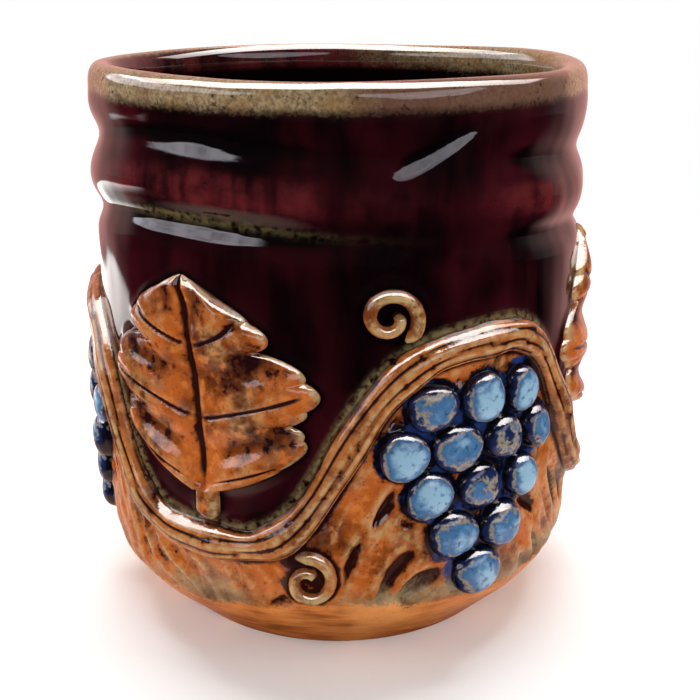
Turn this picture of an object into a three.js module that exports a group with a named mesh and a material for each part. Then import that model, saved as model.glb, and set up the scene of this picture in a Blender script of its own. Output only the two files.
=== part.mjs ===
// A wheel-thrown stoneware mug with no handle. A grapevine scroll in relief is luted to its wall with slip:
// one rolled coil that waves round the pot, a moulded leaf in each hollow above it, a bunch of round pellets
// in each hollow below it, and curled tendrils that spring from the outer side of its bends.
// Millimetres, +Z up. The origin is the centre of the foot, on the table.

import * as THREE from "three";
import { ParametricGeometry } from "three/addons/geometries/ParametricGeometry.js";

// Thrown body
const HEIGHT = 95; // table to the crest of the lip
const WALL_RADIUS = 42; // outside of the straight wall
const WALL_THICKNESS = 4.6;
const FLOOR_THICKNESS = 6.5;
const FLOOR_FILLET = 12; // inside, between the floor and the wall
const LIP_CROWN = 4; // height of the rounded lip
const FOOT_RADIUS = 29.7; // outer edge of the foot ring
const FOOT_RING_WIDTH = 6;
const FOOT_HOLLOW = 2; // depth of the hollow inside the foot ring
const FOOT_HOLLOW_DRAFT = 1; // how much the hollow widens towards the table
const BEVEL_RUN = 1.05; // the trimmed bevel widens this much for each millimetre it rises
const HIP_ROUNDING = 5; // blend between the bevel and the straight wall

// Rings left by the potter's fingers: height below the crest of the lip, rise from the wall, and spread
const LIP_SWELL = { below: 6, rise: 0.5, spread: 3.4 };
const NECK_GROOVE = { below: 12.5, rise: -1.2, spread: 2.7 };
const COLLAR_SWELL = { below: 19, rise: 0.7, spread: 3.2 };
const COLLAR_GROOVE = { below: 25, rise: -0.9, spread: 2.2 };
const FINGER_RINGS = [LIP_SWELL, NECK_GROOVE, COLLAR_SWELL, COLLAR_GROOVE];

// Vine scroll
const SLIP = 0.3; // joint between the wall and a piece luted to it
const BORDER = 1; // plain margin above and below the scroll
const SCROLL_TURN = (32 * Math.PI) / 180; // turns the scroll so that a leaf and a bunch share the front
const WAVES = 3; // waves of the vine round the pot
const VINE_SWING = 16; // height of a bend above or below the middle of the scroll
const VINE_SQUARENESS = 0.11; // share of a third harmonic, which broadens the bends
const VINE_WIDTH = 5.4;
const VINE_HEIGHT = 2.7; // how far the vine stands out from its joint
const LEAF_WIDTH = 42; // less where the hollow is too narrow for it
const LEAF_CLEARANCE = 0.8; // between a leaf's blade and the vine
const LEAF_CREST = 2.6; // how far the leaf's swellings stand out from its joint
const LEAF_EDGE = 1; // thickness at the leaf's edge and along its midrib
const LEAF_CURL = 4; // sideways reach of the tip
const LEAF_LOBES = 3; // on each side, with a vein to each
const LOBE_NOTCH = 0.22; // depth of a notch between lobes, as a share of the half width
const VEIN_DEPTH = 0.8;
const VEIN_SLANT = 0.16; // how far a vein runs towards the tip, as a share of the blade
const STALK_LENGTH = 6;
const STALK_WIDTH = 4;
const BUNCH_ROWS = [3, 4, 3, 2, 1]; // berries in each row of a bunch, from the top down
const BUNCH_DROP = 2.5; // from a bend of the vine to the top of the bunch below it
const BUNCH_CLEARANCE = 0.6; // between any berry and the vine
const BERRY_WIDTH = 8.2; // less where the hollow is too small for the bunch
const BERRY_HEIGHT = 2.6;
const BERRY_GAP = 0.4; // between neighbours in a bunch
const TENDRIL_WIDTH = 2.4; // where it leaves the vine
const TENDRIL_TIP_WIDTH = 1.8;
const TENDRIL_HEIGHT = 1.8; // how far it stands out from its joint
const TENDRIL_RADIUS = 4.5; // of the middle line where the curl starts
const TENDRIL_EYE = 1.2; // radius of the middle line where the curl ends
const TENDRIL_TURNS = 1.25;
const TENDRIL_SHIFT = 0.125; // how far from a bend's middle it springs, as a share of the wave

// Fineness of the facets
const BODY_SEGMENTS = 48;
const COARSE_STEP = 8; // along a straight stretch
const FINE_STEP = 1.8; // along the rings and the bevel
const ARC_STEPS = 6;
const VINE_STEPS = 96;
const VINE_SIDES = 10;
const LEAF_STEPS = 32;
const LEAF_FRONT_STEPS = 10; // across the front of a leaf
const LEAF_BACK_STEPS = 6;
const BERRY_SEGMENTS = 10;
const BERRY_STEPS = 3;
const TENDRIL_STEPS = 28;
const TENDRIL_SIDES = 8;

// Sizes that follow from the ones above
const INNER_RADIUS = WALL_RADIUS - WALL_THICKNESS;
const FLOOR_TOP = FOOT_HOLLOW + FLOOR_THICKNESS;
const HIP_HEIGHT = (WALL_RADIUS - FOOT_RADIUS) / BEVEL_RUN;
const SHOULDER = HEIGHT - LIP_CROWN;
const RINGS_BOTTOM = HEIGHT - COLLAR_GROOVE.below - COLLAR_GROOVE.spread;
const SCROLL_TOP = RINGS_BOTTOM - BORDER;
const SCROLL_BOTTOM = HIP_HEIGHT + BORDER;
const SCROLL_MIDDLE = (SCROLL_TOP + SCROLL_BOTTOM) / 2;
const CIRCUMFERENCE = 2 * Math.PI * WALL_RADIUS;
const WAVE_LENGTH = CIRCUMFERENCE / WAVES;
const VINE_WAVE = VINE_SWING / (1 - VINE_SQUARENESS); // height of the wave's first harmonic
const BUNCH_TOP = SCROLL_MIDDLE + VINE_SWING - VINE_WIDTH / 2 - BUNCH_DROP;
const LEAF_BOTTOM = SCROLL_MIDDLE - VINE_SWING + VINE_WIDTH / 2 + SLIP;
const LEAF_LENGTH = SCROLL_TOP - LEAF_BOTTOM;
const LEAF_SIDES = LEAF_FRONT_STEPS + LEAF_BACK_STEPS + 2; // front, back and two edges

const oxbloodGlaze = new THREE.MeshStandardMaterial({ color: 0x3a1018, roughness: 0.15, metalness: 0 });
const amberGlaze = new THREE.MeshStandardMaterial({ color: 0xa8622c, roughness: 0.2, metalness: 0 });
const umberGlaze = new THREE.MeshStandardMaterial({ color: 0x8a5a36, roughness: 0.2, metalness: 0 });
const blueGlaze = new THREE.MeshStandardMaterial({ color: 0x5c93bd, roughness: 0.15, metalness: 0 });

// The smaller of two radii, with a rounded change from one to the other.
function softMin(a, b, rounding) {
  const near = Math.max(rounding - Math.abs(a - b), 0) / rounding;
  return Math.min(a, b) - (near * near * rounding) / 4;
}

// Radius of the outside of the pot at a height: a bevel, a straight wall and the finger rings.
function wallRadius(z) {
  const bevel = FOOT_RADIUS + BEVEL_RUN * z;
  const bell = (ring) => ring.rise * Math.exp(-(((HEIGHT - z - ring.below) / ring.spread) ** 2));
  const rings = FINGER_RINGS.reduce((sum, ring) => sum + bell(ring), 0);
  return softMin(bevel, WALL_RADIUS + rings, HIP_ROUNDING);
}

// Evenly spaced values from one end to the other, both included, no further apart than the step.
function spaced(from, to, step) {
  const count = Math.max(1, Math.ceil(Math.abs(to - from) / step));
  return Array.from({ length: count + 1 }, (_, i) => from + ((to - from) * i) / count);
}

// Points on an ellipse's arc, as radius and height.
function arc(centreR, centreZ, reachR, reachZ, fromAngle, toAngle) {
  return spaced(0, 1, 1 / ARC_STEPS).map((t) => {
    const angle = fromAngle + (toAngle - fromAngle) * t;
    return new THREE.Vector2(centreR + reachR * Math.cos(angle), centreZ + reachZ * Math.sin(angle));
  });
}

// The pot is one revolve, from the hollow under the foot up the outside, over the lip and down the inside.
function makeBody() {
  const footInner = FOOT_RADIUS - FOOT_RING_WIDTH;
  const straightBottom = HIP_HEIGHT + HIP_ROUNDING;
  const heights = [
    ...spaced(0, straightBottom, FINE_STEP),
    ...spaced(straightBottom, RINGS_BOTTOM, COARSE_STEP).slice(1),
    ...spaced(RINGS_BOTTOM, SHOULDER, FINE_STEP).slice(1),
  ];
  const outside = heights.map((z) => new THREE.Vector2(wallRadius(z), z));
  const shoulderRadius = wallRadius(SHOULDER);
  const lipMiddle = (shoulderRadius + INNER_RADIUS) / 2;
  const lipHalf = (shoulderRadius - INNER_RADIUS) / 2;
  const lip = arc(lipMiddle, SHOULDER, lipHalf, LIP_CROWN, 0, Math.PI);
  const filletR = INNER_RADIUS - FLOOR_FILLET;
  const filletZ = FLOOR_TOP + FLOOR_FILLET;
  const inside = arc(filletR, filletZ, FLOOR_FILLET, FLOOR_FILLET, 0, -Math.PI / 2);
  const profile = [
    new THREE.Vector2(0, FOOT_HOLLOW),
    new THREE.Vector2(footInner - FOOT_HOLLOW_DRAFT, FOOT_HOLLOW),
    new THREE.Vector2(footInner, 0),
    ...outside,
    ...lip.slice(1),
    ...inside,
    new THREE.Vector2(0, FLOOR_TOP),
  ];
  const geometry = new THREE.LatheGeometry(profile, BODY_SEGMENTS).rotateX(Math.PI / 2);
  const mesh = new THREE.Mesh(geometry, oxbloodGlaze);
  mesh.name = "clay_body";
  return mesh;
}

// A place on the pot: distance round the wall, height, and distance out from the slip joint.
function onWall(round, z, out, target) {
  const angle = round / WALL_RADIUS + SCROLL_TURN;
  const radius = wallRadius(z) + SLIP + out;
  return target.set(radius * Math.cos(angle), radius * Math.sin(angle), z);
}

// The vine's middle line at a distance round the wall: its height and the unit normal to it.
function vineLine(round) {
  const turn = (2 * Math.PI * round) / WAVE_LENGTH;
  const rise = Math.sin(turn) + VINE_SQUARENESS * Math.sin(3 * turn);
  const run = Math.cos(turn) + 3 * VINE_SQUARENESS * Math.cos(3 * turn);
  const slope = ((2 * Math.PI * VINE_WAVE) / WAVE_LENGTH) * run;
  return { z: SCROLL_MIDDLE + VINE_WAVE * rise, normal: new THREE.Vector2(-slope, 1).normalize() };
}

// The vine is a closed coil with a flat back and a half-round front.
function makeVine() {
  const point = (u, v, target) => {
    const round = v * CIRCUMFERENCE;
    const line = vineLine(round);
    const turn = 2 * Math.PI * u;
    const across = (VINE_WIDTH / 2) * Math.cos(turn);
    const out = VINE_HEIGHT * Math.max(0, Math.sin(turn));
    onWall(round + across * line.normal.x, line.z + across * line.normal.y, out, target);
  };
  const mesh = new THREE.Mesh(new ParametricGeometry(point, VINE_SIDES, VINE_STEPS), umberGlaze);
  mesh.name = "vine";
  return mesh;
}

// A closed loop across a leaf: over the front from edge to edge, then straight back underneath.
function leafLoop(turn) {
  const step = Math.round(turn * LEAF_SIDES) % LEAF_SIDES;
  const front = step <= LEAF_FRONT_STEPS;
  const over = 1 - (2 * step) / LEAF_FRONT_STEPS;
  const under = (2 * (step - LEAF_FRONT_STEPS - 1)) / LEAF_BACK_STEPS - 1;
  return { front, across: front ? over : under };
}

// Shortest distance, on the unrolled wall, from a place to the middle line of the vine.
function distanceToVine(round, z) {
  const near = spaced(round - WAVE_LENGTH / 2, round + WAVE_LENGTH / 2, 0.5);
  return Math.min(...near.map((at) => Math.hypot(at - round, vineLine(at).z - z)));
}

// The largest size, in small steps down from the one wanted, that passes a test.
function largestThat(fits, wanted) {
  const steps = spaced(1, 0.05, 0.01).map((share) => share * wanted);
  return steps.find((size) => fits(size));
}

// Half the width of a leaf along its blade: it swells, narrows to the tip, and is notched between its lobes.
function bladeHalfWidth(blade, width) {
  const swelling = Math.sin(Math.PI * blade ** 0.8) ** 0.8;
  const lobe = Math.sqrt(Math.abs(Math.sin(Math.PI * LEAF_LOBES * blade)));
  const notched = 1 - LOBE_NOTCH * (1 - lobe) * Math.min(1, 3 * blade);
  return (width / 2) * swelling * notched;
}

// The middle line of a leaf's blade: how far it has curled aside, and its height.
function bladeLine(blade) {
  const along = STALK_LENGTH + (LEAF_LENGTH - STALK_LENGTH) * blade;
  return { aside: LEAF_CURL * (along / LEAF_LENGTH) ** 2, z: LEAF_BOTTOM + along };
}

// Whether a leaf's blade of a given width keeps clear of the vine on both sides.
function leafFits(width) {
  const middle = 0.75 * WAVE_LENGTH;
  return spaced(0, 1, 1 / LEAF_STEPS).every((blade) => {
    const half = bladeHalfWidth(blade, width);
    const { aside, z } = bladeLine(blade);
    const gap = Math.min(...[-half, half].map((x) => distanceToVine(middle + x - aside, z)));
    return gap > VINE_WIDTH / 2 + LEAF_CLEARANCE;
  });
}

// A leaf stands on a stalk in the hollow above a bend, pillowed between its veins, with its tip curled aside.
function makeLeaf(wave, width) {
  const middle = (wave + 0.75) * WAVE_LENGTH;
  const stalkShare = STALK_LENGTH / LEAF_LENGTH;
  const point = (u, v, target) => {
    const { front, across } = leafLoop(u);
    const blade = Math.max(0, (v - stalkShare) / (1 - stalkShare));
    const ends = Math.min(1, v / 0.06, (1 - v) / 0.06);
    const stalk = (STALK_WIDTH / 2) * ends * Math.max(0, 1 - 4 * blade);
    const half = Math.max(bladeHalfWidth(blade, width), stalk);
    const veinTurn = Math.PI * LEAF_LOBES * (blade - VEIN_SLANT * (Math.abs(across) - 1));
    const vein = VEIN_DEPTH * Math.cos(veinTurn) ** 2;
    const pillow = (LEAF_CREST - LEAF_EDGE - vein) * Math.sin(Math.PI * Math.abs(across));
    const out = front ? (LEAF_EDGE + pillow) * Math.sqrt(ends) : 0;
    const round = middle - half * across - LEAF_CURL * v * v;
    onWall(round, LEAF_BOTTOM + LEAF_LENGTH * v, out, target);
  };
  const mesh = new THREE.Mesh(new ParametricGeometry(point, LEAF_SIDES, LEAF_STEPS), amberGlaze);
  mesh.name = `leaf_${wave + 1}`;
  return mesh;
}

// Places of a bunch's berries, from its middle line: nested rows that narrow to a single berry.
function bunchPlaces(width) {
  const pitch = width + BERRY_GAP;
  const rowStep = (pitch * Math.sqrt(3)) / 2;
  return BUNCH_ROWS.flatMap((size, row) =>
    spaced(0, size, 1)
      .slice(1)
      .map((place) => ({
        aside: (place - (size + 1) / 2) * pitch,
        z: BUNCH_TOP - width / 2 - row * rowStep,
      })),
  );
}

// Whether a bunch with berries of a given width keeps clear of the vine and of the lower border.
function bunchFits(width) {
  const middle = 0.25 * WAVE_LENGTH;
  const reach = width / 2 + VINE_WIDTH / 2 + BUNCH_CLEARANCE;
  return bunchPlaces(width).every(
    ({ aside, z }) => z - width / 2 > SCROLL_BOTTOM && distanceToVine(middle + aside, z) > reach,
  );
}

// A berry is a flat-backed dome that stands square to the wall.
function makeBerry(round, z, width) {
  const half = width / 2;
  const seat = Math.max(wallRadius(z - half), wallRadius(z), wallRadius(z + half)) + SLIP;
  const dome = spaced(0, 1, 1 / BERRY_STEPS).map((t) => {
    const angle = (Math.PI / 2) * t;
    return new THREE.Vector2(half * Math.cos(angle), BERRY_HEIGHT * Math.sin(angle));
  });
  const geometry = new THREE.LatheGeometry([new THREE.Vector2(0, 0), ...dome], BERRY_SEGMENTS);
  geometry.rotateZ(-Math.PI / 2);
  const mesh = new THREE.Mesh(geometry, blueGlaze);
  const angle = round / WALL_RADIUS + SCROLL_TURN;
  mesh.position.set(seat * Math.cos(angle), seat * Math.sin(angle), z);
  mesh.rotation.z = angle;
  return mesh;
}

// A bunch hangs in the hollow below a bend.
function makeBunch(wave, width) {
  const middle = (wave + 0.25) * WAVE_LENGTH;
  return bunchPlaces(width).map(({ aside, z }, place) => {
    const berry = makeBerry(middle + aside, z, width);
    berry.name = `berry_${wave + 1}_${place + 1}`;
    return berry;
  });
}

// A tendril leaves the vine along it, from the outer side of a bend, and curls away in a tightening spiral.
function makeTendril(name, springs, outward) {
  const line = vineLine(springs);
  const away = line.normal.clone().multiplyScalar(outward);
  const along = new THREE.Vector2(line.normal.y, -line.normal.x);
  const reach = VINE_WIDTH / 2 + SLIP + TENDRIL_WIDTH / 2 + TENDRIL_RADIUS;
  const centre = new THREE.Vector2(springs, line.z).addScaledVector(away, reach);
  const point = (u, v, target) => {
    const turn = 2 * Math.PI * TENDRIL_TURNS * v;
    const spoke = away.clone().multiplyScalar(-Math.cos(turn)).addScaledVector(along, Math.sin(turn));
    const ends = Math.sqrt(Math.min(1, v / 0.08, (1 - v) / 0.08));
    const width = THREE.MathUtils.lerp(TENDRIL_WIDTH, TENDRIL_TIP_WIDTH, v) * ends;
    const side = -2 * Math.PI * outward * u;
    const radius = THREE.MathUtils.lerp(TENDRIL_RADIUS, TENDRIL_EYE, v) + (width / 2) * Math.cos(side);
    const out = TENDRIL_HEIGHT * ends * Math.max(0, Math.sin(side));
    onWall(centre.x + radius * spoke.x, centre.y + radius * spoke.y, out, target);
  };
  const mesh = new THREE.Mesh(new ParametricGeometry(point, TENDRIL_SIDES, TENDRIL_STEPS), umberGlaze);
  mesh.name = name;
  return mesh;
}

const leafWidth = largestThat(leafFits, LEAF_WIDTH);
const berryWidth = largestThat(bunchFits, BERRY_WIDTH);

const mug = new THREE.Group();
mug.name = "pottery_mug";
mug.add(makeBody(), makeVine());
for (let wave = 0; wave < WAVES; wave += 1) {
  const afterTrough = (wave + 0.75 + TENDRIL_SHIFT) * WAVE_LENGTH;
  const beforeCrest = (wave + 0.25 - TENDRIL_SHIFT) * WAVE_LENGTH;
  mug.add(makeLeaf(wave, leafWidth), ...makeBunch(wave, berryWidth));
  mug.add(makeTendril(`tendril_low_${wave + 1}`, afterTrough, -1));
  mug.add(makeTendril(`tendril_high_${wave + 1}`, beforeCrest, 1));
}

export default mug;
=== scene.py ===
"""Dresses a hand-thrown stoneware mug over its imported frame.

The pot, the vine on it, and the vine's leaves, berries and tendrils are closed surfaces, each a formula on
a grid. All of them lie on one uneven wall, so they follow it together. Lengths are in millimetres until a
mesh is made, and the relief is drawn on the unrolled wall: distance round it, and height.
"""

import logging
import math
from collections.abc import Sequence
from dataclasses import dataclass, field
from enum import Enum
from functools import cached_property

import bpy
import numpy as np
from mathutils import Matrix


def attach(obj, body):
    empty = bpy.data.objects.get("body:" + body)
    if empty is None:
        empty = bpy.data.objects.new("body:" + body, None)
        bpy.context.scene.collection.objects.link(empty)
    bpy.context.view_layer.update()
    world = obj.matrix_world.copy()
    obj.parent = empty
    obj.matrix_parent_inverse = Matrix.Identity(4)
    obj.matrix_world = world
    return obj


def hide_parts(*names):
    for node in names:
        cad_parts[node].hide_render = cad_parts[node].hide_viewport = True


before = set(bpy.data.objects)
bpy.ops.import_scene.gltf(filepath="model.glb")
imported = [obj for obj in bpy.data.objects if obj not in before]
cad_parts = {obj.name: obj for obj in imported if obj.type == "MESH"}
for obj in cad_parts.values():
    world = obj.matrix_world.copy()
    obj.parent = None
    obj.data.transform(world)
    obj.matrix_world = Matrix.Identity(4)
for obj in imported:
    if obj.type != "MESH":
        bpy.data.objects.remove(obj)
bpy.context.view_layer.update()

MM = 0.001
TURN = 2.0 * math.pi
BATCH = 4000  # places worked on at once, to keep the tables of distances small
Array = np.ndarray
Colour = tuple[float, float, float, float]
Point = tuple[float, float, float]
Band = tuple[float, float]  # from a lower value to a higher one
Material = bpy.types.Material
Socket = bpy.types.NodeSocket
Value = float | Sequence[float] | Socket
log = logging.getLogger("mug")


class Slot(str, Enum):
    """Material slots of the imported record."""

    POT = "oxblood_glaze"
    VINE = "umber_glaze"
    LEAF = "amber_glaze"
    BERRY = "blue_glaze"


class Mark(str, Enum):
    """Values kept on the vertices for the glazes to read, all from 0 to 1."""

    POOL = "pool"  # glaze has run together in a hollow, and on the inside of the cup painted shade below the lip
    BREAK = "break"  # glaze is drawn thin over an edge or a crest
    AMBER = "amber"  # orange-brown ground below the vine
    BLUE = "blue"  # blue glaze that has run off the berries
    BARE = "bare"  # clay left bare at the foot
    ASH = "ash"  # dull speckled patch above the foot
    LIP = "lip"  # thin tan glaze on the lip
    OLIVE = "olive"  # rim where the dark red meets the amber
    CROWN = "crown"  # pale top of a berry


Marks = dict[Mark, Array]


class Side(Enum):
    """The side of the vine on which a tendril springs."""

    LOW = -1.0
    HIGH = 1.0


def smooth(low: float, high: float, x: Array) -> Array:
    """Rises from 0 at low to 1 at high along the cubic 3tt - 2ttt."""
    t = np.clip((x - low) / (high - low), 0.0, 1.0)
    return t * t * (3.0 - 2.0 * t)


def bell(x: Array, width: float) -> Array:
    """A bell curve, 1 in the middle and 1/e at the width."""
    return np.exp(-((x / width) ** 2))


def rounded(v: Array, share: float) -> Array:
    """Rounds both ends of a length: the root of a rise from 0 to 1 over a share of it."""
    return np.sqrt(np.minimum(1.0, np.minimum(v, 1.0 - v) / share).clip(0.0))


def batches(size: int) -> list[Array]:
    """Splits the numbers from 0 up to a size into runs of about one batch."""
    return np.array_split(np.arange(size), max(1, size // BATCH))


def colour(code: str) -> Colour:
    """Turns a colour as seen on a screen into the linear light that a shader takes.

    Args:
        code: Six hexadecimal digits, red, green and blue.

    Returns:
        Linear red, green and blue, and an alpha of 1.
    """
    seen = [int(code[i : i + 2], 16) / 255.0 for i in (0, 2, 4)]
    light = [c / 12.92 if c < 0.04045 else ((c + 0.055) / 1.055) ** 2.4 for c in seen]
    return (light[0], light[1], light[2], 1.0)


def nearest(x: Array, z: Array, path_x: Array, path_z: Array, lap: float) -> Array:
    """Distance from each place on the unrolled wall to the nearest point of a path.

    Args:
        x: Distances round the wall.
        z: Heights, of the same shape.
        path_x: The path's points, round the wall.
        path_z: The path's points, in height.
        lap: Length of the wall once round, at which distances start again.

    Returns:
        Distances, of the shape of x.
    """
    found = np.empty(x.size)
    for part in batches(x.size):
        across = x.ravel()[part, None] - path_x[None, :]
        across -= lap * np.round(across / lap)
        up = z.ravel()[part, None] - path_z[None, :]
        found[part] = np.sqrt((across * across + up * up).min(axis=1))
    return found.reshape(x.shape)


@dataclass(frozen=True)
class Wobble:
    """Smooth unevenness: a sum of seeded waves, each a whole number of times round the pot."""

    seed: int
    size: float  # root mean square
    turns: tuple[int, int]  # fewest and most waves round the pot
    rise: float  # greatest turn of phase for each millimetre of height
    count: int = 12

    def at(self, angle: Array, z: Array | float) -> Array:
        """Sums size times cos(turns times angle + rise times z + phase) over the waves.

        Args:
            angle: Angles round the pot.
            z: Heights.

        Returns:
            The unevenness at each place.
        """
        rng = np.random.default_rng(self.seed)
        turns = rng.integers(self.turns[0], self.turns[1] + 1, self.count)
        rises = rng.uniform(-self.rise, self.rise, self.count)
        phases = rng.uniform(0.0, TURN, self.count)
        sizes = rng.uniform(0.5, 1.0, self.count)
        sizes *= self.size / math.sqrt(float((sizes**2).sum()) / 2.0)
        waves = zip(turns, rises, phases, sizes)
        return sum(s * np.cos(n * angle + r * z + p) for n, r, p, s in waves)


@dataclass
class Skin:
    """A closed surface on a grid, whose columns run round it and close on themselves.

    A looped skin closes along its rows too, as a ring does. Otherwise all of the first row is one point,
    and so is all of the last.
    """

    points: Array  # rows, columns, 3
    marks: Marks  # rows, columns
    looped: bool = False

    def corners(self, values: Array) -> Array:
        """Gives the values of the vertices that the mesh has, with each pole once.

        Args:
            values: One value or point for each place on the grid.

        Returns:
            The values in the order of the vertices.
        """
        if self.looped:
            return values.reshape(-1, *values.shape[2:])
        middle = values[1:-1].reshape(-1, *values.shape[2:])
        return np.concatenate([values[:1, 0], middle, values[-1:, 0]])

    def faces(self) -> tuple[Array, Array]:
        """Numbers the corners of each face: quads between rows, and triangles at the poles.

        Returns:
            Quads and triangles, as rows of vertex numbers that turn outwards.
        """
        rows, cols = self.points.shape[:2]
        here = np.arange(cols)
        after = (here + 1) % cols
        if self.looped:
            row = np.arange(rows)[:, None] * cols
            above = np.roll(row, -1)
            triangles = np.empty((0, 3), int)
        else:
            row = 1 + np.arange(rows - 3)[:, None] * cols
            above = row + cols
            last = 1 + (rows - 3) * cols
            top = np.full(cols, last + cols)
            first = np.stack([np.zeros(cols, int), 1 + after, 1 + here], axis=1)
            triangles = np.concatenate([first, np.stack([last + here, last + after, top], axis=1)])
        quads = np.stack(
            [row + here, row + after, above + after, above + here], axis=-1
        ).reshape(-1, 4)
        if self.volume(quads) < 0.0:
            return quads[:, ::-1], triangles[:, ::-1]
        return quads, triangles

    def volume(self, quads: Array) -> float:
        """Sums the signed volumes of the wedges from the middle to each quad.

        Args:
            quads: Rows of four vertex numbers.

        Returns:
            A number that grows with the volume, negative if the quads are inside out.
        """
        points = self.corners(self.points)
        a, b, c, d = (points[quads[:, i]] - points.mean(axis=0) for i in range(4))
        return float((np.cross(c - a, d - b) * (a + b + c + d)).sum())


def put(name: str, data: bpy.types.ID) -> bpy.types.Object:
    """Adds an object to the scene, at the origin.

    Args:
        name: Its name.
        data: Its mesh, light or camera.

    Returns:
        The new object.
    """
    thing = bpy.data.objects.new(name, data)
    bpy.context.scene.collection.objects.link(thing)
    return thing


def make_piece(name: str, skins: Sequence[Skin], finish: Material) -> bpy.types.Object:
    """Puts closed skins into one smooth mesh object at the origin, with their marks as attributes.

    Args:
        name: The piece's name.
        skins: Its closed surfaces, in millimetres.
        finish: The material that it wears.

    Returns:
        The new object.
    """
    points = [skin.corners(skin.points) for skin in skins]
    starts = np.cumsum([0] + [len(p) for p in points])
    faces: list[list[int]] = []
    for start, skin in zip(starts, skins):
        for block in skin.faces():
            faces.extend((block + start).tolist())
    mesh = bpy.data.meshes.new(name)
    mesh.from_pydata((np.concatenate(points) * MM).tolist(), [], faces)
    mesh.polygons.foreach_set("use_smooth", np.ones(len(faces), bool))
    for mark in skins[0].marks:
        values = np.concatenate([skin.corners(skin.marks[mark]) for skin in skins])
        layer = mesh.attributes.new(mark.value, "FLOAT", "POINT")
        layer.data.foreach_set("value", values.astype(np.float32))
    mesh.materials.append(finish)
    mesh.update()
    return put(name, mesh)


def fit(piece: bpy.types.Object, nodes: Sequence[str]) -> None:
    """Fixes a piece to the pot in place of its CAD nodes and reports it.

    Args:
        piece: The piece.
        nodes: The CAD nodes that it stands for.
    """
    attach(piece, "root")
    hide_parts(*nodes)
    log.info("%s: %d faces for %d nodes", piece.name, len(piece.data.polygons), len(nodes))


class Board:
    """Wires the nodes of one material, or of the world."""

    def __init__(self, owner: Material | bpy.types.World) -> None:
        """Starts an empty tree of nodes.

        Args:
            owner: The material or world.
        """
        owner.use_nodes = True
        self.owner = owner
        self.tree = owner.node_tree
        self.tree.nodes.clear()

    @cached_property
    def place(self) -> Socket:
        """Object coordinates, to draw patterns on."""
        return self.add("ShaderNodeTexCoord").outputs["Object"]

    def add(
        self, kind: str, feeds: dict[str | int, Value] | None = None, **settings: object
    ) -> bpy.types.Node:
        """Adds a node.

        Args:
            kind: Blender's name for the node.
            feeds: A constant or a socket for each input that isn't left as it is.
            settings: The node's own settings.

        Returns:
            The new node.
        """
        node = self.tree.nodes.new(kind)
        for key, setting in settings.items():
            setattr(node, key, setting)
        for key, value in (feeds or {}).items():
            if isinstance(value, Socket):
                self.tree.links.new(value, node.inputs[key])
            else:
                node.inputs[key].default_value = value
        return node

    def mark(self, mark: Mark) -> Socket:
        """Reads a value kept on the vertices."""
        return self.add("ShaderNodeAttribute", attribute_name=mark.value).outputs["Fac"]

    def noise(self, scale: float, detail: float = 3.0, squeeze: float = 1.0) -> Socket:
        """Adds a cloudy pattern.

        Args:
            scale: Clouds to the metre.
            detail: How many finer layers it has.
            squeeze: How many times finer it is in height than round the pot.

        Returns:
            A value about 0.5.
        """
        place = self.place
        if squeeze != 1.0:
            place = self.add(
                "ShaderNodeMapping", {"Vector": place, "Scale": (1.0, 1.0, squeeze)}
            ).outputs["Vector"]
        feeds = {"Vector": place, "Scale": scale, "Detail": detail, "Roughness": 0.55}
        return self.add("ShaderNodeTexNoise", feeds).outputs["Fac"]

    def step(self, value: Value, low: float, high: float, top: float = 1.0) -> Socket:
        """Turns a value into a smooth rise from 0 at low to top at high."""
        feeds = {"Value": value, "From Min": low, "From Max": high, "To Min": 0.0, "To Max": top}
        return self.add("ShaderNodeMapRange", feeds, interpolation_type="SMOOTHSTEP").outputs["Result"]

    def maths(self, operation: str, *values: Value) -> Socket:
        """Joins numbers from left to right by one of Blender's operations.

        Args:
            operation: Blender's name for it.
            values: One number for an operation on one, or else two or more.

        Returns:
            The result.
        """
        result = self.add("ShaderNodeMath", dict(enumerate(values[:2])), operation=operation)
        for value in values[2:]:
            feeds = {0: result.outputs["Value"], 1: value}
            result = self.add("ShaderNodeMath", feeds, operation=operation)
        return result.outputs["Value"]

    def mix(self, share: Value, first: Value, second: Value) -> Socket:
        """Mixes two colours, the second by its share."""
        node = self.add("ShaderNodeMix", {0: share, 6: first, 7: second}, data_type="RGBA")
        return node.outputs[2]

    def blend(self, share: Value, first: Value, second: Value) -> Socket:
        """Mixes two numbers, the second by its share."""
        node = self.add("ShaderNodeMix", {0: share, 2: first, 3: second}, data_type="FLOAT")
        return node.outputs[0]

    def bump(self, height: Value, depth: float, strength: float = 1.0) -> Socket:
        """Turns a height pattern into a small roughening of the surface, a depth in millimetres."""
        feeds = {"Height": height, "Distance": depth * MM, "Strength": strength}
        return self.add("ShaderNodeBump", feeds).outputs["Normal"]

    def fire(self, paint: Value, roughness: Value, normal: Socket) -> Material:
        """Ends the wiring in a glazed surface.

        Args:
            paint: Colour of the glaze or clay.
            roughness: 0 for a mirror, 1 for chalk.
            normal: The roughened surface.

        Returns:
            The finished material.
        """
        feeds = {"Base Color": paint, "Roughness": roughness, "Normal": normal, "IOR": 1.5}
        surface = self.add("ShaderNodeBsdfPrincipled", feeds)
        self.add("ShaderNodeOutputMaterial", {"Surface": surface.outputs["BSDF"]})
        return self.owner


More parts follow.
